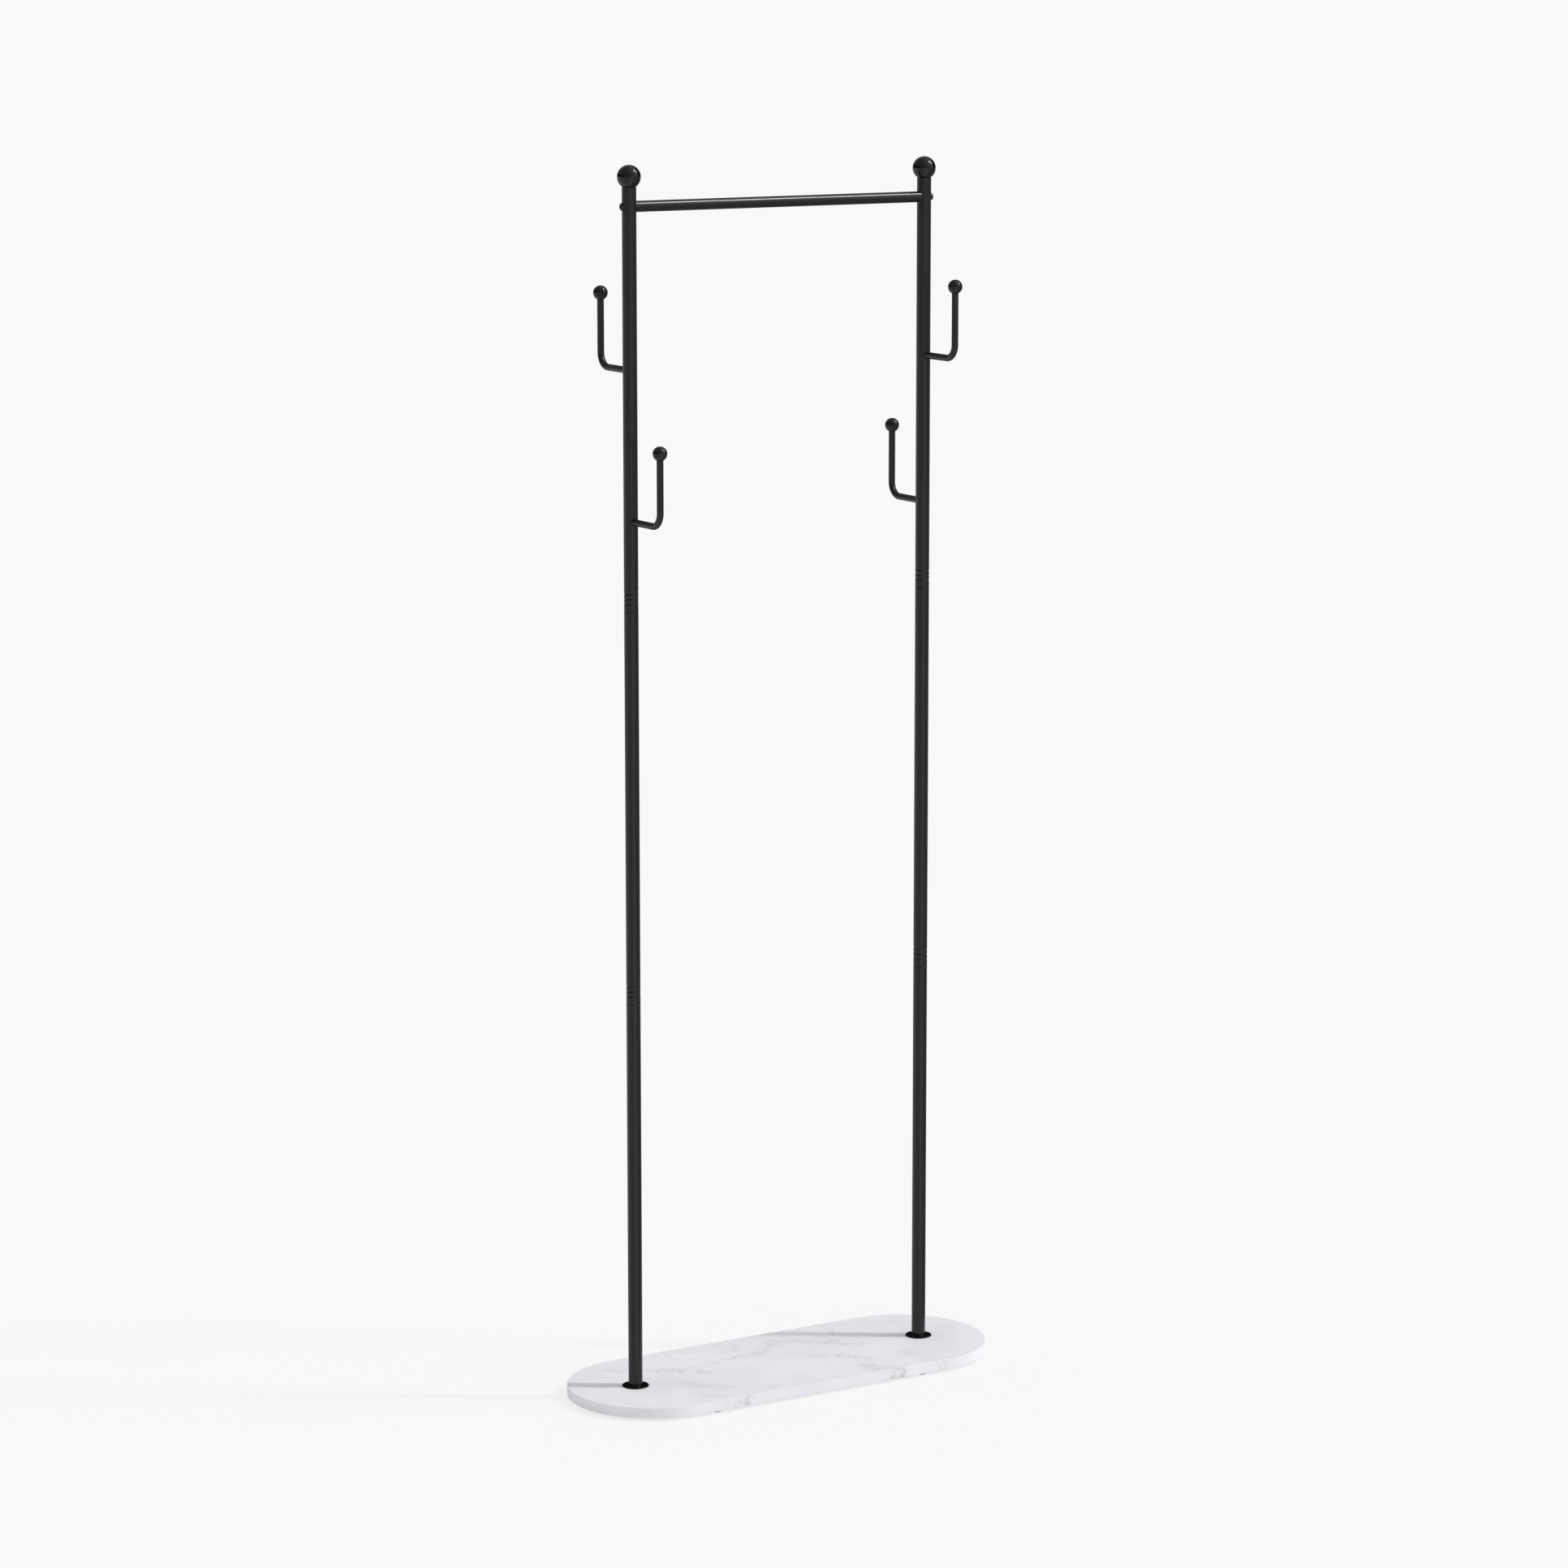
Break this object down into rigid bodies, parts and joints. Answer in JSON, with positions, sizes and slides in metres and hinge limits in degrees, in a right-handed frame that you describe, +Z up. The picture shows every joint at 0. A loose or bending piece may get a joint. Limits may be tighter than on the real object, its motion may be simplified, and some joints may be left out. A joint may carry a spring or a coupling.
{
  "type": "standing coat rack",
  "caption": "Coat rack: round steel posts on a flat stadium-shaped stone base, joined near the top by a crossbar for hangers, with ball finials and ball-tipped hooks to front and back.",
  "frame": {"origin": "on the floor, under the middle of the base", "axes": "+X from the left post to the right one, +Z up, -Y to the front that the picture shows"},
  "size_m": [0.6668, 0.2496, 1.7457],
  "materials": {
    "satin_black_steel": "satin black powder coat on steel tube and rod",
    "gloss_black_steel": "glossy black enamel on turned steel",
    "white_marble": "honed white marble with faint grey veins",
    "zinc_steel": "bright zinc plate on turned steel",
    "grey_rubber": "matt moulded rubber"
  },
  "bodies": {
    "stand": {"base_slab": "white_marble", "base_feet": "grey_rubber", "base_bolts": "zinc_steel", "base_washers": "zinc_steel", "finial_studs": "zinc_steel", "crossbar": "satin_black_steel", "crossbar_bolts": "gloss_black_steel", "crossbar_washers": "satin_black_steel", "left_lower_tube": "satin_black_steel", "left_middle_tube": "satin_black_steel", "left_upper_tube": "satin_black_steel", "left_base_flange": "gloss_black_steel", "left_finial": "gloss_black_steel", "left_foot_insert": "zinc_steel", "left_top_insert": "zinc_steel", "left_bar_insert": "zinc_steel", "right_lower_tube": "satin_black_steel", "right_middle_tube": "satin_black_steel", "right_upper_tube": "satin_black_steel", "right_base_flange": "gloss_black_steel", "right_finial": "gloss_black_steel", "right_foot_insert": "zinc_steel", "right_top_insert": "zinc_steel", "right_bar_insert": "zinc_steel", "left_upper_hook_insert": "zinc_steel", "left_lower_hook_insert": "zinc_steel", "right_upper_hook_insert": "zinc_steel", "right_lower_hook_insert": "zinc_steel"},
    "left_upper_hook": {"left_upper_hook": "satin_black_steel", "left_upper_hook_ball": "gloss_black_steel"},
    "left_lower_hook": {"left_lower_hook": "satin_black_steel", "left_lower_hook_ball": "gloss_black_steel"},
    "right_upper_hook": {"right_upper_hook": "satin_black_steel", "right_upper_hook_ball": "gloss_black_steel"},
    "right_lower_hook": {"right_lower_hook": "satin_black_steel", "right_lower_hook_ball": "gloss_black_steel"}
  },
  "joints": [
    {"name": "left_upper_hook_turn", "type": "hinge", "parent": "stand", "child": "left_upper_hook", "pos_m": [-0.24, 0, 1.4652], "axis": [0, 1, 0], "range_deg": [0, 180]},
    {"name": "left_lower_hook_turn", "type": "hinge", "parent": "stand", "child": "left_lower_hook", "pos_m": [-0.24, 0, 1.2565], "axis": [0, -1, 0], "range_deg": [0, 180]},
    {"name": "right_upper_hook_turn", "type": "hinge", "parent": "stand", "child": "right_upper_hook", "pos_m": [0.24, 0, 1.4652], "axis": [0, -1, 0], "range_deg": [0, 180]},
    {"name": "right_lower_hook_turn", "type": "hinge", "parent": "stand", "child": "right_lower_hook", "pos_m": [0.24, 0, 1.2565], "axis": [0, 1, 0], "range_deg": [0, 180]}
  ]
}
